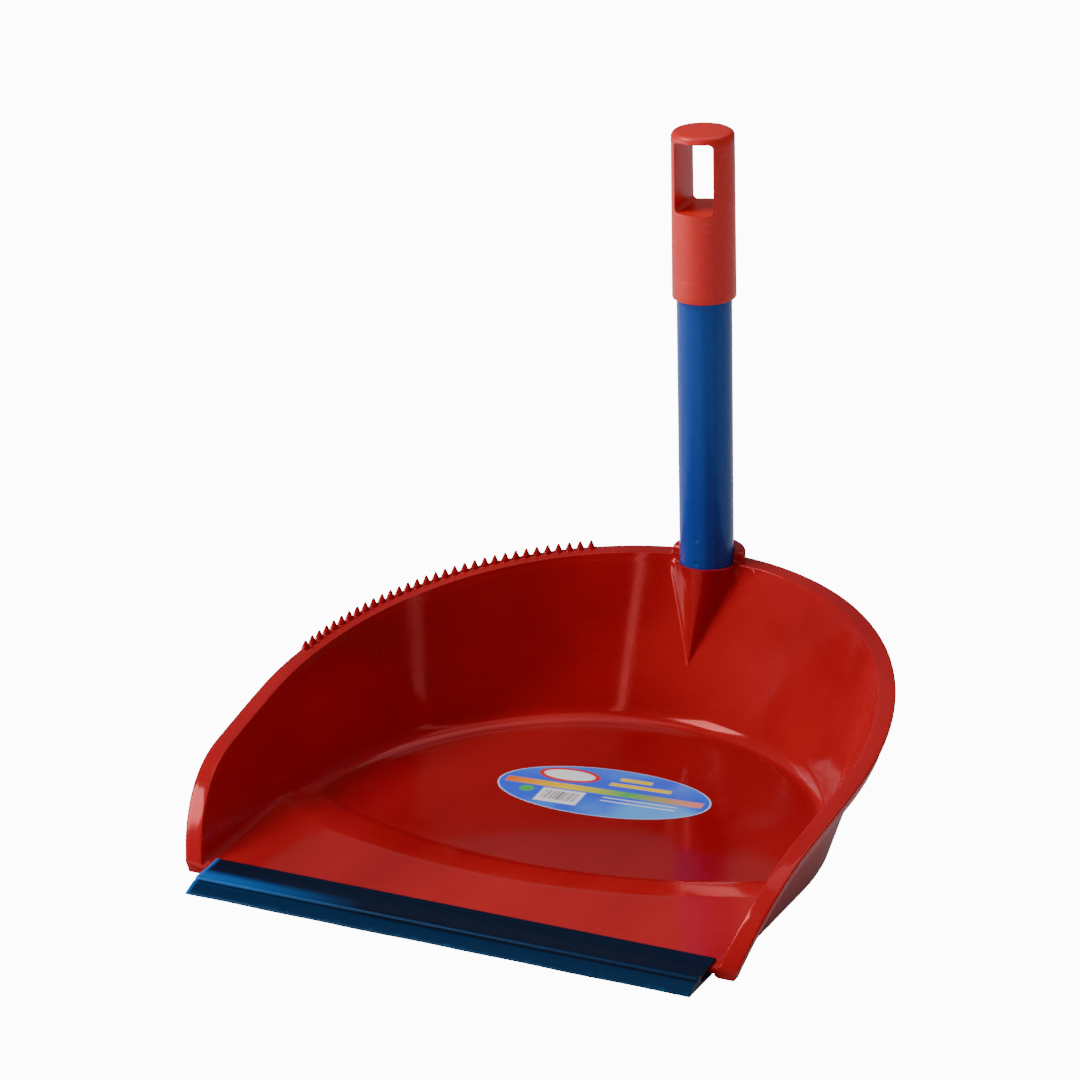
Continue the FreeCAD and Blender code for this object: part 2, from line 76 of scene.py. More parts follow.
class PanSizes(bpy.types.PropertyGroup):
    side_run: length("Side run", "Length of the straight sides", 0.085)
    half_width: length("Half width", "Half the width over the walls at the floor", 0.1128)
    back_bow: length("Back bow", "Reach of the bowed back at the floor", 0.1363)
    side_flare: factor("Side flare", "Outward lean of the side walls", 0.31)
    back_flare: factor("Back flare", "Outward lean of the back wall", 0.48)
    wall: length("Wall", "Thickness of the walls", 0.0022)
    floor_thick: length("Floor", "Thickness of the basin floor", 0.0026)
    foot_radius: length("Foot radius", "Radius outside the foot of the walls", 0.0025)
    basin_corner: length("Basin corner", "Reach of the radius between wall and basin", 0.0062)
    ramp_corner: length("Ramp corner", "Reach of the radius between wall and ramp", 0.0026)
    brow_radius: length("Brow radius", "Rim radius where it sweeps up from the front", 0.0623)
    brow_run: length("Brow run", "Centre of that arc behind the front edge", 0.056)
    brow_drop: length("Brow drop", "Centre of that arc below the floor", 0.0224)
    brow_slope: slope("Brow slope", "Slope of the rim where its arcs meet", 11.3)
    crown_radius: length("Crown radius", "Radius of the long part of the rim", 2.44)
    flange_out: length("Flange", "How far the rim flange stands out", 0.00546)
    flange_thick: length("Flange thickness", "Thickness of the rim flange", 0.002)
    skirt_deep: length("Skirt depth", "Depth of the turned-down edge of the flange", 0.006)
    skirt_thick: length("Skirt thickness", "Thickness of that edge", 0.002)
    rim_round: length("Rim rounding", "Rounding of the edges of the rim", 0.0008)
    ramp_front: length("Ramp front", "Top of the ramp at the front edge", 0.00385)
    ramp_slope: slope("Ramp slope", "Rise of the ramp towards the back", 3.4)
    crest_run: length("Crest run", "Crest of the ramp behind the front edge", 0.035)
    crest_radius: length("Crest radius", "Plan radius of the crest", 0.230)
    crest_band: length("Crest band", "Width of the slope down to the basin", 0.024)
    crest_soft: length("Crest softness", "Softness of the crest and of its foot", 0.00035)
    tongue_reach: length("Tongue reach", "Tongue in front of the front edge", 0.008)
    tongue_half: length("Tongue half width", "Half the width of the tongue", 0.1072)


class SocketSizes(bpy.types.PropertyGroup):
    axis_back: length("Axis", "Handle axis behind the origin at the mouth", 0.1675)
    mouth_height: length("Mouth height", "Height of the socket mouth", 0.070005)
    handle_lean: slope("Handle lean", "Forward lean of the handle", 3.5)
    radius: length("Socket radius", "Outside radius of the socket", 0.014)
    long: length("Socket length", "Length of the socket", 0.036)
    room: length("Handle room", "Radius cleared for the handle", 0.0124)
    bore: length("Bore radius", "Radius of the threaded bore", 0.00955)
    bore_deep: length("Bore depth", "Depth of the bore", 0.029)
    collar: length("Collar radius", "Outside radius of the collar", 0.0172)
    collar_rise: length("Collar rise", "Height of the collar above the mouth", 0.0055)
    collar_long: length("Collar length", "Length of the collar", 0.016)
    boss_drop: length("Boss drop", "How far the boss runs down the wall", 0.034)
    boss_tip: length("Boss tip", "Radius of the boss at its lower end", 0.0025)
    boss_blend: length("Boss blend", "Width of the hollow blend beside the boss, at the mouth", 0.0045)


class ToothSizes(bpy.types.PropertyGroup):
    count: IntProperty(name="Teeth", description="Number of comb teeth", default=32, min=1)
    pitch: length("Pitch", "Spacing of the teeth along the rim", 0.00486)
    high: length("Height", "Height of a tooth above the rim", 0.0036)
    root: length("Root", "Depth of a tooth in the rim", 0.001)
    radius: length("Radius", "Radius of a tooth at its root", 0.0019)
    tip: length("Tip", "Radius of a tooth at its tip", 0.00065)
    inset: length("Inset", "Teeth inside the edge of the flange", 0.0016)
    last: slope("Last tooth", "Direction of the last tooth from straight back", 22.5)


class LipSizes(bpy.types.PropertyGroup):
    half: length("Half length", "Half the length of the lip", 0.1085)
    reach: length("Reach", "Reach in front of the front edge", 0.020)
    cover: length("Cover", "How far the lip covers the ramp", 0.006)
    skin: length("Skin", "Thickness above the tongue", 0.0013)
    ridge: length("Ridge", "Ridge in front of the front edge", 0.011)
    groove: length("Groove", "Depth of the groove in front of the ridge", 0.0011)
    edge: length("Edge", "Thickness at the working edge", 0.0006)
    wave: length("Wave", "Unevenness of the working edge", 0.0003)
    clear: length("Clearance", "Clearance in front of the tongue", 0.00025)


class HandleSizes(bpy.types.PropertyGroup):
    tube: length("Tube radius", "Outside radius of the steel tube", 0.0116)
    coat: length("Coat", "Thickness of the plastic coat", 0.0004)
    shown: length("Tube shown", "Tube between the socket and the cap", 0.123)
    overlap: length("Cap overlap", "How far the cap slides over the tube", 0.034)
    dimple: length("Dimple", "Depth of the crimp dimples", 0.00034)
    dimple_wide: length("Dimple width", "Radius of a crimp dimple", 0.0015)
    cap: length("Cap radius", "Outside radius of the cap", 0.0139)
    cap_draft: length("Cap draft", "How much narrower the cap is at its top", 0.0003)
    cap_long: length("Cap length", "Length of the cap", 0.074)
    cap_round: length("Cap rounding", "Rounding of the top of the cap", 0.0025)
    window_wide: length("Window width", "Width of the hanging window", 0.0178)
    window_high: length("Window height", "Height of the hanging window", 0.031)
    window_top: length("Window top", "Material above the window", 0.0036)
    window_round: length("Window corner", "Corner radius of the window", 0.002)


class LabelSizes(bpy.types.PropertyGroup):
    half_long: length("Half length", "Half the length of the oval", 0.047)
    half_wide: length("Half width", "Half the width of the oval", 0.025)
    turn: slope("Turn", "Turn of the label on the floor", 4.5)


class Colours(bpy.types.PropertyGroup):
    pan: colour("Pan", "Moulded pan", (0.41, 0.011, 0.014))
    pan_deep: colour("Pan, thick", "Pan where the plastic is thicker", (0.30, 0.007, 0.010))
    lip: colour("Lip", "Soft lip", (0.0003, 0.0035, 0.014))
    # painted light: this pale azure stands for light on the lip's left end and the highlight behind its
    # ridge
    lip_painted_light: colour("Lip, painted light", "Painted light on the soft lip", (0.003, 0.15, 0.55))
    sleeve: colour("Sleeve", "Plastic coat of the tube", (0.007, 0.040, 0.26))
    cap: colour("Cap", "End cap", (0.62, 0.013, 0.010))
    steel: colour("Steel", "Bare steel tube", (0.56, 0.57, 0.59))
    ferrule: colour("Ferrule", "Threaded ferrule", (0.022, 0.05, 0.2))
    label_blue: colour("Label blue", "Ground of the label", (0.012, 0.11, 0.80))
    label_sky: colour("Label sky", "Light part of the label", (0.10, 0.52, 0.95))
    label_white: colour("Label white", "White parts of the label", (0.85, 0.85, 0.86))
    label_red: colour("Label red", "Red parts of the label", (0.62, 0.03, 0.03))
    label_yellow: colour("Label yellow", "Yellow parts of the label", (0.86, 0.62, 0.02))
    label_orange: colour("Label orange", "Warm end of the label band", (0.86, 0.16, 0.02))
    label_green: colour("Label green", "Green part of the label band", (0.05, 0.46, 0.10))
    floor: colour("Floor", "Studio floor", (0.86, 0.86, 0.86))


GROUPS = {"dust_pan": PanSizes, "dust_socket": SocketSizes, "dust_teeth": ToothSizes,
          "dust_lip": LipSizes, "dust_handle": HandleSizes, "dust_label": LabelSizes,
          "dust_colours": Colours}


# ------------------------------------------------------------ materials

class Wire:
    """A socket that takes part in sums and products."""

    def __init__(self, finish, socket):
        self.finish = finish
        self.socket = socket

    def maths(self, operation, first, second):
        return self.finish.node("ShaderNodeMath", {"operation": operation}, {0: first, 1: second})

    def __add__(self, other):
        return self.maths("ADD", self, other)

    def __radd__(self, other):
        return self.maths("ADD", other, self)

    def __sub__(self, other):
        return self.maths("SUBTRACT", self, other)

    def __rsub__(self, other):
        return self.maths("SUBTRACT", other, self)

    def __mul__(self, other):
        return self.maths("MULTIPLY", self, other)

    def __rmul__(self, other):
        return self.maths("MULTIPLY", other, self)

    def __truediv__(self, other):
        return self.maths("DIVIDE", self, other)

    def __rtruediv__(self, other):
        return self.maths("DIVIDE", other, self)

    def __abs__(self):
        return self.maths("ABSOLUTE", self, 0.0)


class Finish:
    """A material in the making, or the surroundings when they are given as its home."""

    def __init__(self, name, home=None):
        self.made = (bpy.data.materials if home is None else home).new(name)
        self.made.use_nodes = True
        self.tree = self.made.node_tree
        self.tree.nodes.clear()

    def node(self, kind, settings=None, sockets=None, out=0):
        """Adds one node: its settings first, then the values or links of its sockets."""
        made = self.tree.nodes.new(kind)
        for key, value in (settings or {}).items():
            if key == "stops":
                ramp = made.color_ramp
                while len(ramp.elements) < len(value):
                    ramp.elements.new(0.5)
                for stop, (at, shade) in zip(ramp.elements, value, strict=True):
                    stop.position = at
                    stop.color = (*shade, 1.0)
            else:
                setattr(made, key, value)
        for key, value in (sockets or {}).items():
            if isinstance(value, Wire):
                self.tree.links.new(value.socket, made.inputs[key])
            else:
                made.inputs[key].default_value = value
        return Wire(self, made.outputs[out]) if made.outputs else None

    def mix(self, amount, first, second):
        """Mixes two colours."""
        first, second = [c if isinstance(c, Wire) else (*c, 1.0) for c in (first, second)]
        return self.node("ShaderNodeMix", {"data_type": "RGBA"}, {0: amount, 6: first, 7: second}, out=2)

    def place(self):
        """Coordinates in the piece's own metres."""
        return self.node("ShaderNodeTexCoord", out=3)

    def stretched(self, scale, turn=(0.0, 0.0, 0.0)):
        """The piece's coordinates, turned and then scaled along each axis."""
        return self.node("ShaderNodeMapping", {"vector_type": "TEXTURE"},
                         {"Vector": self.place(), "Rotation": turn, "Scale": [1.0 / k for k in scale]})

    def noise(self, scale, vector=None, detail=2.0, roughness=0.5):
        return self.node("ShaderNodeTexNoise", {"noise_dimensions": "3D"},
                         {"Vector": vector or self.place(), "Scale": scale, "Detail": detail,
                          "Roughness": roughness})

    def between(self, value, low, high, new_low=0.0, new_high=1.0):
        """Carries a value from one span to another, held at both ends."""
        return self.node("ShaderNodeMapRange", {"clamp": True},
                         {0: value, 1: low, 2: high, 3: new_low, 4: new_high})

    def parts(self, vector):
        xyz = self.node("ShaderNodeSeparateXYZ", sockets={0: vector})
        split = xyz.socket.node
        return [Wire(self, split.outputs[i]) for i in range(3)]

    def bump(self, height, strength, distance):
        return self.node("ShaderNodeBump", None,
                         {"Height": height, "Strength": strength, "Distance": distance})

    def surface(self, **sockets):
        """Joins up the shader; underscores stand for the spaces in its socket names."""
        named = {key.replace("_", " "): value for key, value in sockets.items()}
        shader = self.node("ShaderNodeBsdfPrincipled", None, named)
        self.node("ShaderNodeOutputMaterial", None, {"Surface": shader})
        return self.made


def scratches(finish, scale, turn, width=0.012):
    """Thin, broken, nearly straight scratches."""
    lines = finish.noise(1.0, finish.stretched(scale, turn), detail=1.0)
    thin = finish.between(abs(lines - 0.5), 0.0, width, 1.0, 0.0)
    broken = finish.between(finish.noise(38.0), 0.52, 0.62)
    return thin * broken


def pan_plastic(c):
    """Glossy moulded red with a faint flow pattern and use scratches, and painted shade on the basin floor
    and at the foot of the walls.
    """
    f = Finish("pan_plastic")
    flow = f.noise(16.0, f.stretched((1.0, 0.35, 1.0)), detail=3.0)
    rub = scratches(f, (38.0, 520.0, 38.0), (0.0, 0.0, 0.5)) + scratches(
        f, (520.0, 30.0, 30.0), (0.0, 0.0, 0.22))
    # painted shade: everything below the ramp, the basin floor and the foot of its walls, is painted a
    # darker red
    low = f.between(f.parts(f.place())[2], 0.0027, 0.0036, 1.0, 0.0)
    tint = f.mix(f.between(flow, 0.36, 0.66), c.pan_deep, c.pan)
    tint = f.mix(low * 0.45, tint, (0.16, 0.004, 0.006))
    worn = f.mix(rub * 0.03, tint, (0.62, 0.10, 0.10))
    rough = f.between(f.noise(70.0, detail=2.0), 0.35, 0.7, 0.085, 0.14) + rub * low * 0.06
    peel = f.noise(420.0, detail=1.0)
    return f.surface(Base_Color=worn, Roughness=rough, IOR=1.5, Specular_IOR_Level=0.5,
                     Specular_Tint=(1.0, 0.16, 0.16, 1.0),
                     Normal=f.bump(peel + rub * -0.1, 0.05, 0.0002))


def lip_vinyl(c):
    """Dark flexible vinyl with drawn lines along it and a scuffed edge, with painted light paler at its
    left end and on its front band, a painted highlight behind the ridge and painted shade in the groove.
    """
    f = Finish("lip_vinyl")
    x, y = f.parts(f.place())[:2]
    drawn = f.noise(1.0, f.stretched((6.0, 900.0, 900.0)), detail=2.0)
    # painted light: the last two millimetres at the left end are painted pale azure, as if lit
    left = f.between(x, -0.1084, -0.1064, 1.0, 0.0)
    # painted highlight: a pale azure band over the top behind the ridge, strongest at the left end and
    # fading out to the right
    painted_highlight = f.between(abs(y + 0.0938), 0.0012, 0.0055, 1.0, 0.0) * f.between(x, -0.108, -0.035, 1.0, 0.0)
    # painted shade: the groove in front of the ridge is painted nearly black, as the shade inside it
    groove = f.between(abs(y + 0.0977), 0.0005, 0.0011, 1.0, 0.0)
    edge = f.between(y, -0.1047, -0.1025, 1.0, 0.0)
    scuff = f.between(f.noise(240.0, detail=3.0), 0.5, 0.68) * edge
    tint = f.mix(f.between(drawn, 0.35, 0.65) * 0.4, c.lip, (0.0006, 0.009, 0.034))
    # painted light: the front band, in front of the groove, is painted a lighter blue, as if lit
    tint = f.mix(f.between(y, -0.0985, -0.0980, 1.0, 0.0) * 0.6, tint, (0.0008, 0.016, 0.058))
    tint = f.mix(painted_highlight * 0.65, tint, c.lip_painted_light)
    tint = f.mix(groove * 0.85, tint, (0.0002, 0.001, 0.004))
    tint = f.mix(left, tint, c.lip_painted_light)
    tint = f.mix(scuff * 0.3, tint, (0.01, 0.08, 0.20))
    rough = f.between(f.noise(90.0), 0.35, 0.7, 0.30, 0.38) + scuff * 0.2
    return f.surface(Base_Color=tint, Roughness=rough, IOR=1.5, Specular_IOR_Level=0.2,
                     Specular_Tint=(0.12, 0.42, 1.0, 1.0),
                     Normal=f.bump(drawn, 0.12, 0.0003))


def sleeve_vinyl(c, lean):
    """Thin drawn plastic coat with faint lines along the tube."""
    f = Finish("sleeve_vinyl")
    drawn = f.noise(1.0, f.stretched((420.0, 420.0, 2.5), (lean, 0.0, 0.0)), detail=1.0)
    rub = f.between(f.noise(55.0, detail=4.0), 0.55, 0.75)
    tint = f.mix(f.between(drawn, 0.3, 0.7) * 0.5, c.sleeve, (0.011, 0.058, 0.33))
    tint = f.mix(rub * 0.05, tint, (0.06, 0.15, 0.42))
    rough = f.between(f.noise(60.0), 0.35, 0.7, 0.20, 0.25) + rub * 0.03
    return f.surface(Base_Color=tint, Roughness=rough, IOR=1.48, Specular_IOR_Level=0.45,
                     Specular_Tint=(0.35, 0.62, 1.0, 1.0), Normal=f.bump(drawn, 0.02, 0.0001))


def cap_plastic(c):
    """Satin moulded cap with a fine spark-eroded texture and light scuffs."""
    f = Finish("cap_plastic")
    grain = f.noise(1900.0, detail=2.0, roughness=0.7)
    cloud = f.noise(42.0, detail=3.0)
    scuff = f.between(f.noise(1.0, f.stretched((60.0, 60.0, 460.0)), detail=3.0), 0.64, 0.74)
    tint = f.mix(f.between(cloud, 0.35, 0.7) * 0.6, c.cap, (0.60, 0.014, 0.014))
    tint = f.mix(scuff * 0.16, tint, (0.85, 0.22, 0.18))
    rough = f.between(cloud, 0.35, 0.7, 0.32, 0.40) + scuff * 0.06
    return f.surface(Base_Color=tint, Roughness=rough, IOR=1.48,
                     Specular_Tint=(1.0, 0.72, 0.72, 1.0),
                     Normal=f.bump(grain, 0.10, 0.00012))


def tube_steel(c, lean):
    """Drawn steel with lines along the tube and a few dull spots."""
    f = Finish("tube_steel")
    drawn = f.noise(1.0, f.stretched((1400.0, 1400.0, 9.0), (lean, 0.0, 0.0)), detail=3.0)
    dull = f.between(f.noise(160.0, detail=4.0), 0.55, 0.75)
    tint = f.mix(drawn, c.steel, (0.42, 0.43, 0.45))
    tint = f.mix(dull * 0.35, tint, (0.22, 0.20, 0.18))
    rough = f.between(drawn, 0.3, 0.7, 0.22, 0.38) + dull * 0.2
    return f.surface(Base_Color=tint, Roughness=rough, Metallic=1.0,
                     Normal=f.bump(drawn, 0.2, 0.0002))


def ferrule_plastic(c):
    """Matt moulded ferrule, rubbed paler on its thread."""
    f = Finish("ferrule_plastic")
    grain = f.noise(1500.0, detail=2.0)
    rub = f.between(f.noise(130.0, detail=3.0), 0.5, 0.7)
    tint = f.mix(rub * 0.35, c.ferrule, (0.07, 0.13, 0.34))
    rough = f.between(grain, 0.3, 0.7, 0.36, 0.5)
    return f.surface(Base_Color=tint, Roughness=rough, IOR=1.48,
                     Normal=f.bump(grain, 0.15, 0.0001))


def label_film(c, oval, centre):
    """Glossy printed oval: blue ground, a plain white badge, plain bars and a coloured band."""
    f = Finish("label_film")
    moved = f.node("ShaderNodeMapping", {"vector_type": "TEXTURE"},
                   {"Vector": f.place(), "Location": centre, "Rotation": (0.0, 0.0, oval.turn),
                    "Scale": (oval.half_long, oval.half_wide, 1.0)})
    u, v = f.parts(moved)[:2]

    def patch(at_u, at_v, half_u, half_v, soft=0.02):
        """A bar with soft edges, in halves of the oval."""
        across = f.between(abs(u - at_u), half_u - soft, half_u, 1.0, 0.0)
        return across * f.between(abs(v - at_v), half_v - soft * 1.9, half_v, 1.0, 0.0)

    def blob(at_u, at_v, half_u, half_v, soft=0.12):
        """An oval patch."""
        du, dv = (u - at_u) / half_u, (v - at_v) / half_v
        return f.between(du * du + dv * dv, 1.0 - soft, 1.0, 1.0, 0.0)

    sky = f.between(f.noise(34.0, detail=2.0), 0.42, 0.66) * f.between(abs(v), 0.2, 0.95)
    print_ = f.mix(sky * 0.55, c.label_blue, c.label_sky)
    print_ = f.mix(blob(0.62, -0.55, 0.5, 0.55, 0.7) * 0.65, print_, c.label_sky)
    # the coloured band along the middle
    band = f.node("ShaderNodeValToRGB", {"stops": [
        (0.0, c.label_orange), (0.3, c.label_yellow), (0.62, c.label_green), (1.0, (0.80, 0.24, 0.20))]},
        {0: f.between(u, -0.9, 0.9)})
    print_ = f.mix(patch(0.0, 0.02, 0.94, 0.13), print_, band)
    # the plain badge
    print_ = f.mix(blob(-0.42, 0.50, 0.30, 0.30), print_, c.label_red)
    print_ = f.mix(blob(-0.42, 0.50, 0.25, 0.22), print_, c.label_white)
    # plain bars where printed lines would be
    for at_u, at_v, half_u in ((0.20, 0.62, 0.16), (0.28, 0.38, 0.30)):
        print_ = f.mix(patch(at_u, at_v, half_u, 0.085), print_, c.label_yellow)
    for at_v in (-0.20, -0.34):
        print_ = f.mix(patch(0.38, at_v, 0.36, 0.035), print_, c.label_white)
    # a plain striped block
    stripes = f.between(f.noise(1.0, f.stretched((2400.0, 1.0, 1.0)), detail=0.0), 0.47, 0.53)
    block = patch(-0.34, -0.42, 0.21, 0.30)
    print_ = f.mix(block, print_, c.label_white)
    print_ = f.mix(patch(-0.34, -0.40, 0.17, 0.20) * stripes * 0.85, print_, (0.02, 0.02, 0.03))
    print_ = f.mix(blob(-0.68, -0.28, 0.07, 0.13), print_, c.label_green)
    # the film's white cut edge
    rim = f.between(u * u + v * v, 0.955, 0.985)
    print_ = f.mix(rim, print_, (0.45, 0.66, 0.92))
    wrinkle = f.noise(95.0, detail=2.0)
    rough = f.between(f.noise(160.0), 0.35, 0.7, 0.10, 0.20)
    return f.surface(Base_Color=print_, Roughness=rough, IOR=1.5,
                     Normal=f.bump(wrinkle, 0.10, 0.0003))


def studio_floor(c):
    """Pale, nearly even studio floor."""
    f = Finish("studio_floor")
    tone = f.mix(f.between(f.noise(3.0, detail=2.0), 0.4, 0.7), c.floor, (0.84, 0.84, 0.84))
    cloth = f.node("ShaderNodeBsdfDiffuse", None, {"Color": tone})
    glow = f.node("ShaderNodeEmission", None, {"Color": (1.0, 1.0, 1.0, 1.0), "Strength": 15.0})
    seen = f.node("ShaderNodeLightPath")
    lit = f.node("ShaderNodeMixShader", None, {0: seen * 0.8, 1: cloth, 2: glow})
    f.node("ShaderNodeOutputMaterial", None, {"Surface": lit})
    return f.made


# ------------------------------------------------------------ shapes

def smooth(mesh, sharp=40.0):
    """Shades a mesh smooth but for its real edges."""
    mesh.polygons.foreach_set("use_smooth", [True] * len(mesh.polygons))
    mesh.set_sharp_from_angle(angle=math.radians(sharp))


def new_object(name, bm, sharp=40.0):
    """Turns mesh data into an object in the scene."""
    bmesh.ops.recalc_face_normals(bm, faces=bm.faces)
    mesh = bpy.data.meshes.new(name)
    bm.to_mesh(mesh)
    bm.free()
    smooth(mesh, sharp)
    made = bpy.data.objects.new(name, mesh)
    bpy.context.scene.collection.objects.link(made)
    return made


def dress(piece, material, body, slot, *nodes):
    """Gives a piece its material, its body and the nodes it stands for."""
    piece.data.materials.clear()
    piece.data.materials.append(material)
    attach(piece, body)
    if nodes:
        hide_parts(*nodes)


def repaint(node, material):
    """Gives a CAD piece its material; its shape stays as it is."""
    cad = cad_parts[node]
    cad.data.materials.clear()
    cad.data.materials.append(material)


def apply_modifiers(piece):
    """Bakes the modifiers of a piece into its mesh."""
    graph = bpy.context.evaluated_depsgraph_get()
    baked = bpy.data.meshes.new_from_object(piece.evaluated_get(graph))
    piece.modifiers.clear()
    piece.data = baked


def boolean(piece, operation, *tools):
    """Joins tools to a piece, or cuts them away, and removes them."""
    for tool in tools:
        step = piece.modifiers.new(operation.lower(), "BOOLEAN")
        step.operation = operation
        step.solver = "EXACT"
        step.object = tool
    apply_modifiers(piece)
    if not piece.data.polygons:
        raise RuntimeError("nothing was left of %s" % piece.name)
    for tool in tools:
        bpy.data.objects.remove(tool)


def skin(bm, rings):
    """Skins rings of equal count and closes both ends; each ring closes on itself."""
    loops = [[bm.verts.new(p) for p in ring] for ring in rings]
    for near, far in zip(loops, loops[1:]):
        for i in range(len(near)):
            j = (i + 1) % len(near)
            bm.faces.new((near[i], near[j], far[j], far[i]))
    bm.faces.new(loops[0])
    bm.faces.new(list(reversed(loops[-1])))


def handle_frame(s):
    """Stands the handle's own upright axis where it is on the pan."""
    return Matrix.Translation((0.0, s.axis_back, s.mouth_height)) @ Matrix.Rotation(s.handle_lean, 4, "X")


def lathe(name, profile, steps, place=None, dent=None):
    """Turns a profile of (radius, height) about the upright axis, as a closed skin."""
    bm = bmesh.new()
    rows = []
    for k in range(steps):
        turn = 2 * math.pi * k / steps
        row = []
        for radius, height in profile:
            r = radius - dent(turn, radius, height) if dent else radius
            row.append(bm.verts.new((r * math.cos(turn), r * math.sin(turn), height)))
        rows.append(row)
    n = len(profile)
    for k in range(steps):
        here, there = rows[k], rows[(k + 1) % steps]
        for i in range(n):
            j = (i + 1) % n
            # no skin along the axis itself
            if profile[i][0] > 0.0 or profile[j][0] > 0.0:
                bm.faces.new((here[i], here[j], there[j], there[i]))
    bmesh.ops.remove_doubles(bm, verts=bm.verts, dist=1e-7)
    bmesh.ops.dissolve_degenerate(bm, edges=bm.edges, dist=1e-8)
    if place:
        bmesh.ops.transform(bm, matrix=place, verts=bm.verts)
    return new_object(name, bm)


def arc(centre, radius, start, end, steps):
    """Points of an arc in a profile, from one direction to another in degrees."""
    out = []
    for k in range(steps + 1):
        turn = math.radians(start + (end - start) * k / steps)
        out.append((centre[0] + radius * math.cos(turn), centre[1] + radius * math.sin(turn)))
    return out


def spread(start, end, count):
    return [start + (end - start) * k / count for k in range(count + 1)]


def soft_min(a, b, k):
    """The lower of two, rounded over where they meet."""
    h = max(k - abs(a - b), 0.0) / k
    return min(a, b) - h * h * k * 0.25


def soft_max(a, b, k):
    return -soft_min(-a, -b, k)


class Tray:
    """Where the surfaces of the pan run, worked out from its sizes."""

    def __init__(self, pan, socket):
        self.p = pan
        self.s = socket
        self.brow_y = pan.brow_run - pan.side_run
        reach = pan.crown_radius - pan.brow_radius
        self.crown_y = self.brow_y + reach * math.sin(pan.brow_slope)
        self.crown_z = -pan.brow_drop - reach * math.cos(pan.brow_slope)
        self.meet_y = self.brow_y - pan.brow_radius * math.sin(pan.brow_slope)
        self.crest_y = pan.crest_radius + pan.crest_run - pan.side_run

    def rim(self, y, depth=0.0):
        """Height of the rim line, lowered square to it by depth."""
        p = self.p
        if y < self.meet_y:
            radius = p.brow_radius - depth
            return -p.brow_drop + math.sqrt(max(radius ** 2 - (y - self.brow_y) ** 2, 0.0))
        return self.crown_z + math.sqrt((p.crown_radius - depth) ** 2 - (y - self.crown_y) ** 2)

    def point(self, turn, run, inset, z):
        """Point of the wall: turned from straight back, then forward along the straight side."""
        p = self.p
        x = (p.half_width + p.side_flare * z - inset) * math.sin(turn)
        y = (p.back_bow + p.back_flare * z - inset) * math.cos(turn) - run
        return Vector((x, y, z))

    def rim_point(self, turn, run, inset, depth=0.0):
        z = 0.07
        for step in range(12):
            z = max(self.rim(self.point(turn, run, inset, z).y, depth), 0.0)
        return self.point(turn, run, inset, z)

    def ramp(self, y):
        return self.p.ramp_front + (y + self.p.side_run) * math.tan(self.p.ramp_slope)

    def floor(self, x, y):
        """Height of the floor: ramp, crest and basin."""
        p = self.p
        away = math.hypot(x, y - self.crest_y) - p.crest_radius
        ramp = self.ramp(y)
        fall = p.floor_thick + (ramp - p.floor_thick) * (away + p.crest_band) / p.crest_band
        return soft_max(soft_min(ramp, fall, p.crest_soft), p.floor_thick, p.crest_soft)

    def under(self, x, y):
        """Height of the underside: flat below the basin, hollow below the ramp."""
        p = self.p
        away = math.hypot(x, y - self.crest_y) - p.crest_radius - p.wall
        high = self.ramp(y) - p.wall / math.cos(p.ramp_slope)
        return high * min(max(away / 0.0012, 0.0), 1.0) if y < -0.005 else 0.0

    def boss(self, x, z):
        """How far the wall stands in where the boss of the socket runs down it."""
        s = self.s
        share = (z - (s.mouth_height - s.boss_drop)) / s.boss_drop
        if share <= -0.25:
            return 0.0
        half = s.boss_tip + (s.radius - s.boss_tip) * max(share, 0.0)
        if share < 0.0:
            half *= 1.0 + share * 4.0
        beside = abs(x) / half
        blended = max(1.0 - (beside / (1.0 + s.boss_blend / s.radius)) ** 2, 0.0) ** 1.5
        # only the mouth itself is truly round
        mouth = min(max((share - 0.86) / 0.14, 0.0), 1.0)
        return half * (blended + (math.sqrt(max(1.0 - beside ** 2, 0.0)) - blended) * mouth)

    def section(self, turn, run, columns, rows):
        """Half of the pan's cross-section at one place, from below the middle to above it."""
        p, s = self.p, self.s
        inner_top = self.rim_point(turn, run, p.wall)
        skirt_in = p.skirt_thick - p.flange_out
        under = self.rim_point(turn, run, 0.0, p.flange_thick)
        hem = self.rim_point(turn, run, -p.flange_out, p.skirt_deep).z
        foot = min(p.foot_radius, under.z * 0.7)
        out = []
        # underside, from the middle to the foot
        edge = self.point(turn, run, foot, 0.0)
        gap = min(0.0009, edge.x * 0.3)
        for share in spread(0.0, 1.0, columns // 2):
            x = (edge.x - gap) * share
            out.append(Vector((x, edge.y, self.under(x, edge.y))))
        out.append(Vector((edge.x - gap * 0.98, edge.y, 0.0)))
        # rounded foot and outer wall
        for a in spread(0.0, math.pi / 2, 4):
            out.append(self.point(turn, run, foot * (1 - math.sin(a)), foot * (1 - math.cos(a))))
        for z in spread(foot, under.z, 6)[1:]:
            out.append(self.point(turn, run, 0.0, z))
        # flange with its turned-down edge
        out.append(self.rim_point(turn, run, skirt_in, p.flange_thick))
        hem = max(min(hem, out[-1].z - 0.0001), 0.0)
        out.append(self.point(turn, run, skirt_in, hem))
        out.append(self.point(turn, run, -p.flange_out, hem))
        r = p.rim_round
        for a in spread(0.0, math.pi / 2, 4):
            corner = self.rim_point(turn, run, -p.flange_out + r * (1 - math.cos(a)))
            out.append(corner - Vector((0.0, 0.0, r * (1 - math.sin(a)))))
        for inset in spread(-p.flange_out + r, p.wall - r, 4)[1:-1]:
            out.append(self.rim_point(turn, run, inset))
        for a in spread(math.pi / 2, 0.0, 4):
            corner = self.rim_point(turn, run, p.wall - r * (1 - math.cos(a)))
            out.append(corner - Vector((0.0, 0.0, r * (1 - math.sin(a)))))
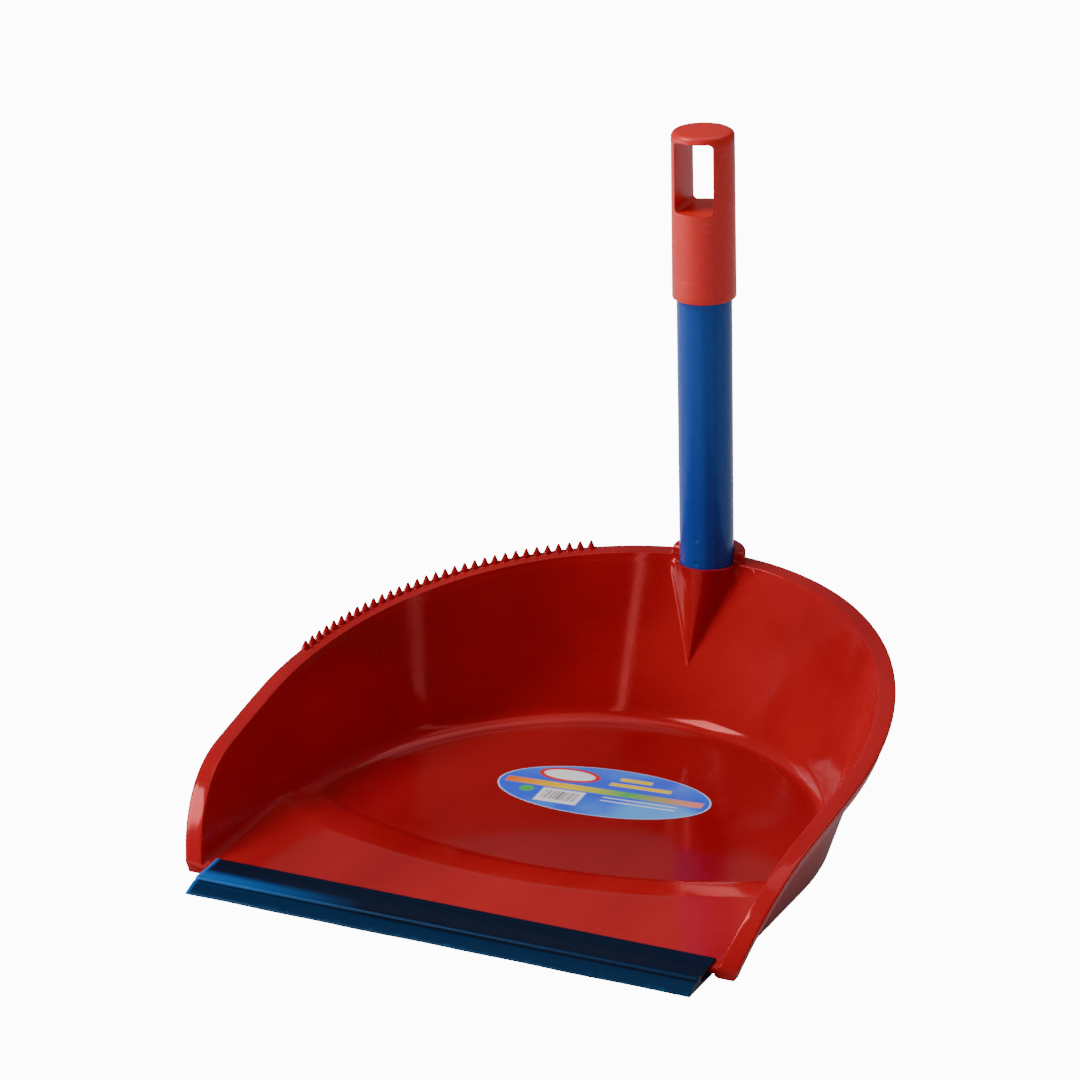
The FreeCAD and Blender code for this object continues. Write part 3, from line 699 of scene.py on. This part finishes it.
        # inner wall, with the boss of the socket
        high = out[-1].z
        base = self.point(turn, run, p.wall, p.floor_thick)
        level = self.floor(base.x, base.y)
        reach = p.basin_corner + (p.ramp_corner - p.basin_corner) * min(
            max((level - p.floor_thick) / 0.0022, 0.0), 1.0)
        reach = min(reach, (high - level) * 0.8)
        low = level + reach
        mouth = s.mouth_height + (inner_top.y - s.axis_back) * math.tan(s.handle_lean)
        near = abs(base.x) < s.radius + 0.006 and turn < 1.0
        heights = spread(high, low, rows)[1:]
        if near:
            heights = [mouth + 0.0002, mouth] + spread(mouth, low, rows - 2)[1:]
        for i, z in enumerate(heights):
            wall = self.point(turn, run, p.wall, z)
            if near and i > 0:
                wall.y -= self.boss(wall.x, z)
            out.append(wall)
        # corner radius, then the floor
        for t in spread(0.0, 1.0, 8)[1:]:
            z = (1 - t) ** 2 * low + (2 * t * (1 - t) + t * t) * level
            inset = p.wall + t * t * reach
            out.append(self.point(turn, run, inset, z))
        ring = out[-1].copy()
        for share in spread(1.0, 0.0, columns)[1:]:
            x = ring.x * share
            out.append(Vector((x, ring.y, self.floor(x, ring.y))))
        out[-columns - 1].z = self.floor(ring.x, ring.y)
        return out


def tooth_places(tray, t):
    """Feet of the comb teeth, walked along the rim from straight back to the left."""
    inset = t.inset - tray.p.flange_out
    turn = t.last
    here = tray.rim_point(-turn, 0.0, inset)
    places = [here]
    while len(places) < t.count:
        last = here
        while (here - last).length < t.pitch:
            turn += math.radians(0.05)
            here = tray.rim_point(-turn, 0.0, inset)
        places.append(here)
    return places


# ------------------------------------------------------------ operators

class DUSTPAN_OT_pan(bpy.types.Operator):
    """Make the pan moulding: tray, rim, ramp, socket and comb"""
    bl_idname = "dustpan.pan"
    bl_label = "Pan"

    def execute(self, context):
        scene = context.scene
        p, s, t = scene.dust_pan, scene.dust_socket, scene.dust_teeth
        tray = Tray(p, s)
        columns, rows, step = 150, 34, 0.0013
        stations = [(math.pi / 2, run) for run in spread(p.side_run, 0.0, 96)[:-1]]
        turn = math.pi / 2
        while turn > 0.0:
            stations.append((turn, 0.0))
            pace = math.hypot(p.half_width * math.cos(turn), p.back_bow * math.sin(turn))
            finer = 0.45 if turn < 0.16 else 1.0
            turn -= step * finer / pace
        stations.append((0.0, 0.0))
        bm = bmesh.new()
        rings = []
        for turn, run in stations:
            half = tray.section(turn, run, columns, rows)
            half[0].x = 0.0
            half[-1].x = 0.0
            other = [Vector((-q.x, q.y, q.z)) for q in reversed(half[1:-1])]
            rings.append(half + other)
        loops = [[bm.verts.new(q) for q in ring] for ring in rings]
        for near, far in zip(loops, loops[1:]):
            for i in range(len(near)):
                j = (i + 1) % len(near)
                bm.faces.new((near[i], near[j], far[j], far[i]))
        bm.faces.new(loops[0])
        bmesh.ops.remove_doubles(bm, verts=bm.verts, dist=2e-6)
        bmesh.ops.dissolve_degenerate(bm, edges=bm.edges, dist=1e-7)
        pan = new_object("pan_moulding", bm)

        at = handle_frame(s)
        r = 0.0007
        socket = lathe("socket", [(0.0, -s.long), (s.radius - r, -s.long)]
                       + arc((s.radius - r, -s.long + r), r, -90, 0, 4)[1:]
                       + [(s.radius, h) for h in spread(r - s.long, -0.00004, 30)[1:]]
                       + [(0.0, -0.00004)], 96, at)
        # inside the tray the boss takes the place of the post
        for v in socket.data.vertices:
            wide = p.half_width + p.side_flare * v.co.z - p.wall / 2
            deep = p.back_bow + p.back_flare * v.co.z - p.wall / 2
            v.co.y = max(v.co.y, deep * math.sqrt(1.0 - (v.co.x / wide) ** 2))
        collar = self.collar(s, at)
        boolean(pan, "UNION", socket, collar)
        room = lathe("room", [(0.0, 0.0), (s.room, 0.0), (s.room, 0.06), (0.0, 0.06)], 96, at)
        bore = lathe("bore", [(0.0, -s.bore_deep), (s.bore, -s.bore_deep), (s.bore, 0.001), (0.0, 0.001)],
                     96, at)
        boolean(pan, "DIFFERENCE", room, bore)
        self.add_trim(pan, tray, p, t)
        dress(pan, pan_plastic(scene.dust_colours), "root", "pan_plastic", "pan")
        return {"FINISHED"}

    def collar(self, s, at):
        """Half a ring behind the handle, rounded on top and at its two ends."""
        bm = bmesh.new()
        inner = s.room - 0.001
        r = 0.0011
        low, high = s.collar_rise - s.collar_long, s.collar_rise
        section = ([(inner, low), (s.collar - 0.0004, low), (s.collar, low + 0.0004)]
                   + arc((s.collar - r, high - r), r, 0, 90, 5) + [(inner, high)])
        rings = []
        for a in spread(0.0, math.pi, 60):
            # the ends slope down to the rim
            end = min(math.sin(a) * s.collar / 0.0055, 1.0)
            drop = (1.0 - math.sqrt(max(1.0 - (1.0 - end) ** 2, 0.0))) * 0.0042
            rings.append([Vector((u * math.cos(a), u * math.sin(a), v - (drop if v > low + 0.001 else 0.0)))
                          for u, v in section])
        skin(bm, rings)
        bmesh.ops.transform(bm, matrix=at, verts=bm.verts)
        return new_object("collar", bm)

    def add_trim(self, pan, tray, p, t):
        """Adds the comb teeth on the rim and the tongue inside the lip."""
        bm = bmesh.new()
        bm.from_mesh(pan.data)
        for foot in tooth_places(tray, t):
            profile = [(t.radius, -t.root), (t.radius, 0.0002), (t.radius * 0.72, t.high * 0.35),
                       (t.tip, t.high - t.tip * 0.9), (t.tip * 0.75, t.high - t.tip * 0.3),
                       (t.tip * 0.3, t.high)]
            rings = [[foot + Vector((u * math.cos(a), u * math.sin(a), v))
                      for a in spread(0.0, 2 * math.pi, 12)[:-1]] for u, v in profile]
            skin(bm, rings)
        front, back = -p.side_run - p.tongue_reach, -p.side_run + 0.001
        thick = p.wall / math.cos(p.ramp_slope)
        rings = []
        for x in spread(-p.tongue_half, p.tongue_half, 8):
            rings.append([Vector((x, front, tray.ramp(front) - thick)),
                          Vector((x, back, tray.ramp(back) - thick + 0.00002)),
                          Vector((x, back, tray.ramp(back) - 0.00002)),
                          Vector((x, front, tray.ramp(front)))])
        skin(bm, rings)
        bmesh.ops.recalc_face_normals(bm, faces=bm.faces)
        bm.to_mesh(pan.data)
        bm.free()
        smooth(pan.data)


class DUSTPAN_OT_lip(bpy.types.Operator):
    """Make the soft strip that is pushed onto the front edge"""
    bl_idname = "dustpan.lip"
    bl_label = "Lip"

    def execute(self, context):
        scene = context.scene
        p, k = scene.dust_pan, scene.dust_lip
        rise = math.tan(p.ramp_slope)

        def ramp(forward):
            return p.ramp_front - forward * rise

        thick = p.wall / math.cos(p.ramp_slope)
        slot = p.tongue_reach + k.clear
        top = ramp(k.ridge) + k.skin
        upper = []
        # gently hollow top from the back edge to the ridge
        for share in spread(0.0, 1.0, 14):
            forward = -k.cover + 0.0006 + (k.ridge - 0.0012 + k.cover - 0.0006) * share
            line = ramp(forward) + k.skin
            upper.append((-forward, line - 0.0003 * math.sin(math.pi * share)))
        profile = [(k.cover, ramp(-k.cover)), (k.cover, ramp(-k.cover) + k.skin - 0.0006),
                   (k.cover - 0.0002, ramp(-k.cover) + k.skin - 0.0002)] + upper
        profile += [(-k.ridge + 0.0004, top), (-k.ridge, top - 0.00012), (-k.ridge - 0.0004, top - 0.0005),
                    (-k.ridge - k.groove, top - k.groove),
                    (-k.ridge - 1.5 * k.groove, top - k.groove - 0.0001),
                    (-k.ridge - 2 * k.groove, top - k.groove + 0.00005)]
        # front band, slightly full, down to the working edge
        band = [(-k.ridge - 2 * k.groove, top - k.groove), (-k.reach + 0.0002, k.edge + 0.0001)]
        for share in spread(0.0, 1.0, 10)[1:]:
            y = band[0][0] + (band[1][0] - band[0][0]) * share
            z = band[0][1] + (band[1][1] - band[0][1]) * share
            profile.append((y, z + 0.00016 * math.sin(math.pi * share)))
        profile += [(-k.reach, k.edge - 0.0002), (-k.reach, 0.0001), (-k.reach + 0.0002, 0.0),
                    (-k.reach + 0.006, 0.0), (k.cover - 0.0002, 0.0), (k.cover, 0.0002),
                    (k.cover, ramp(-k.cover) - thick), (-slot, ramp(slot) - thick), (-slot, ramp(slot))]
        bm = bmesh.new()
        rings = []
        stations = [-k.half, -k.half + 0.0003] + spread(-k.half + 0.0012, k.half - 0.0012, 150) + [
            k.half - 0.0003, k.half]
        for x in stations:
            waver = 0.5 * (math.sin(x * 61.0 + 0.7) + math.sin(x * 143.0 + 2.1))
            ring = []
            for y, z in profile:
                front = min(max((-y - k.ridge) / (k.reach - k.ridge), 0.0), 1.0)
                back = k.wave * front * (1.0 + waver) * 0.9
                shrink = 0.00015 if abs(x) >= k.half - 1e-7 and z > 0.001 else 0.0
                ring.append(Vector((x, y - p.side_run + back, z - shrink)))
            rings.append(ring)
        skin(bm, rings)
        lip = new_object("soft_lip", bm, 34.0)
        dress(lip, lip_vinyl(scene.dust_colours), "root", "lip_vinyl", "front_lip")
        return {"FINISHED"}


class DUSTPAN_OT_label(bpy.types.Operator):
    """Print the oval label on the basin floor"""
    bl_idname = "dustpan.label"
    bl_label = "Label"

    def execute(self, context):
        scene = context.scene
        low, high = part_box("label")
        centre = ((low.x + high.x) / 2, (low.y + high.y) / 2, 0.0)
        repaint("label", label_film(scene.dust_colours, scene.dust_label, centre))
        return {"FINISHED"}


class DUSTPAN_OT_tube(bpy.types.Operator):
    """Make the coated tube, and finish the bare steel and the ferrule inside it"""
    bl_idname = "dustpan.tube"
    bl_label = "Tube"

    def execute(self, context):
        scene = context.scene
        s, h = scene.dust_socket, scene.dust_handle
        colours = scene.dust_colours
        outer, end = h.tube + h.coat, h.shown + h.overlap
        heights = spread(0.00012, 0.020, 44) + spread(0.020, end, 40)[1:]
        profile = [(h.tube, 0.0), (outer - 0.00012, 0.0)] + [(outer, v) for v in heights] + [(h.tube, end)]

        def dent(turn, radius, height):
            """Two small crimp dimples low on the front of the tube."""
            if radius < outer - 0.00001:
                return 0.0
            depth = 0.0
            for at in (0.0030, 0.0142):
                across = (turn - 1.5 * math.pi) * outer
                away = math.hypot(across, height - at) / h.dimple_wide
                if away < 1.0:
                    depth = h.dimple * (1.0 - away * away) ** 2
            return depth

        sleeve = lathe("tube_coat", profile, 192, handle_frame(s), dent)
        dress(sleeve, sleeve_vinyl(colours, s.handle_lean), "handle", "sleeve_vinyl", "tube_sleeve")
        repaint("steel_tube", tube_steel(colours, s.handle_lean))
        repaint("ferrule", ferrule_plastic(colours))
        return {"FINISHED"}


class DUSTPAN_OT_cap(bpy.types.Operator):
    """Make the end cap with its hanging window"""
    bl_idname = "dustpan.cap"
    bl_label = "End cap"

    def execute(self, context):
        scene = context.scene
        s, h = scene.dust_socket, scene.dust_handle
        grip = h.tube + h.coat
        low, high = h.shown, h.shown + h.cap_long
        top = h.cap - h.cap_draft
        r = h.cap_round
        dome = [(top - r - (top - r) * share, high - 0.0004 + 0.0004 * math.sin(share * math.pi / 2))
                for share in spread(0.0, 1.0, 8)[1:]]
        side = [(h.cap - h.cap_draft * k / 24, low + 0.0006 + (high - r - 0.0006 - low) * k / 24)
                for k in range(25)]
        profile = ([(grip + 0.00004, low + 0.0003), (grip + 0.0003, low), (h.cap - 0.0005, low),
                    (h.cap - 0.00012, low + 0.00015)] + side
                   + arc((top - r, high - r - 0.0004), r, 0, 90, 8)[1:] + dome
                   + [(0.0, low + h.overlap), (grip + 0.00004, low + h.overlap)])
        cap = lathe("end_cap_moulding", profile, 160)
        cutter = self.window(h, high)
        boolean(cap, "DIFFERENCE", cutter)
        soften = cap.modifiers.new("soften", "BEVEL")
        soften.width = 0.0005
        soften.segments = 3
        soften.limit_method = "ANGLE"
        soften.angle_limit = math.radians(48.0)
        soften.use_clamp_overlap = True
        apply_modifiers(cap)
        cap.data.transform(handle_frame(s))
        smooth(cap.data)
        dress(cap, cap_plastic(scene.dust_colours), "handle", "cap_plastic", "end_cap")
        return {"FINISHED"}

    def window(self, h, high):
        """The through window, with rounded corners."""
        bm = bmesh.new()
        top = high - h.window_top
        low = top - h.window_high
        half, r = h.window_wide / 2, h.window_round
        outline = (arc((half - r, top - r), r, 0, 90, 6) + arc((-half + r, top - r), r, 90, 180, 6)
                   + arc((-half + r, low + r), r, 180, 270, 6) + arc((half - r, low + r), r, 270, 360, 6))
        rings = [[Vector((x, y, z)) for x, z in outline] for y in (-0.02, 0.02)]
        skin(bm, rings)
        return new_object("window", bm)


class DUSTPAN_OT_stage(bpy.types.Operator):
    """Set up the pale floor, the soft lights and the camera"""
    bl_idname = "dustpan.stage"
    bl_label = "Stage"

    def execute(self, context):
        scene = context.scene
        bm = bmesh.new()
        bmesh.ops.create_grid(bm, x_segments=8, y_segments=8, size=6.0)
        floor = new_object("studio_floor", bm)
        floor.location.z = -0.0002
        floor.data.materials.append(studio_floor(scene.dust_colours))
        self.surroundings(scene)
        self.lamp("key", (-1.5, -0.9, 1.9), (0.0, 0.02, 0.05), 1.1, 1.1, 62.0)
        self.lamp("overhead", (0.3, 0.4, 2.3), (0.0, 0.05, 0.0), 2.2, 2.2, 22.0)
        self.lamp("left_card", (-1.2, -0.7, 0.12), (0.0, 0.16, 0.14), 0.9, 0.5, 13.0)
        self.lamp("window_strip", (0.2, -1.47, 1.0), (-0.03, 0.15, 0.04), 0.11, 1.3, 1.9)
        self.lamp("side_strip", (1.5, 0.2, 0.9), (0.05, 0.05, 0.05), 0.12, 1.2, 0.7)
        camera = bpy.data.objects.new("camera", bpy.data.cameras.new("camera"))
        scene.collection.objects.link(camera)
        camera.location = (0.5878, -1.2509, 0.6077)
        around, down = math.radians(25.26), math.radians(19.0)
        ahead = Vector((-math.sin(around) * math.cos(down), math.cos(around) * math.cos(down),
                        -math.sin(down)))
        camera.rotation_euler = ahead.to_track_quat("-Z", "Y").to_euler()
        camera.data.sensor_width = 36.0
        camera.data.lens = 122.72
        scene.camera = camera
        return {"FINISHED"}

    def surroundings(self, scene):
        """Plain white behind everything the camera sees, softer and darker in reflections."""
        f = Finish("studio", bpy.data.worlds)
        seen = f.node("ShaderNodeBackground", None, {"Color": (1.0, 1.0, 1.0, 1.0), "Strength": 6.0})
        along = f.parts(f.node("ShaderNodeTexCoord"))[1]
        stops = [(0.30, (0.14, 0.14, 0.15)), (0.80, (0.16, 0.16, 0.16))]
        tone = f.node("ShaderNodeValToRGB", {"stops": stops}, {0: f.between(along, -1.0, 1.0)})
        felt = f.node("ShaderNodeBackground", None, {"Color": tone, "Strength": 1.0})
        path = f.node("ShaderNodeLightPath")
        both = f.node("ShaderNodeMixShader", None, {0: path, 1: felt, 2: seen})
        f.node("ShaderNodeOutputWorld", None, {"Surface": both})
        scene.world = f.made

    def lamp(self, name, place, aim, wide, high, power):
        """A soft rectangular light, turned to what it lights."""
        data = bpy.data.lights.new(name, "AREA")
        data.shape = "RECTANGLE"
        data.size, data.size_y = wide, high
        data.energy = power
        lamp = bpy.data.objects.new(name, data)
        bpy.context.scene.collection.objects.link(lamp)
        lamp.location = place
        towards = Vector(aim) - Vector(place)
        lamp.rotation_euler = towards.to_track_quat("-Z", "Y").to_euler()


OPERATORS = (DUSTPAN_OT_pan, DUSTPAN_OT_lip, DUSTPAN_OT_label, DUSTPAN_OT_tube, DUSTPAN_OT_cap,
             DUSTPAN_OT_stage)


class DUSTPAN_PT_panel(bpy.types.Panel):
    """The dust pan's pieces, in the order they are made"""
    bl_idname = "DUSTPAN_PT_panel"
    bl_label = "Dust Pan"
    bl_space_type = "VIEW_3D"
    bl_region_type = "UI"
    bl_category = "Dust Pan"

    def draw(self, context):
        for operator in OPERATORS:
            self.layout.operator(operator.bl_idname, text=operator.bl_label)


CLASSES = (*GROUPS.values(), *OPERATORS, DUSTPAN_PT_panel)


def register():
    for cls in CLASSES:
        bpy.utils.register_class(cls)
    for name, group in GROUPS.items():
        setattr(bpy.types.Scene, name, PointerProperty(type=group))


def unregister():
    for name in GROUPS:
        delattr(bpy.types.Scene, name)
    for cls in reversed(CLASSES):
        bpy.utils.unregister_class(cls)


def main():
    register()
    bpy.ops.dustpan.pan()
    bpy.ops.dustpan.lip()
    bpy.ops.dustpan.label()
    bpy.ops.dustpan.tube()
    bpy.ops.dustpan.cap()
    bpy.ops.dustpan.stage()


if __name__ == "__main__":
    main()
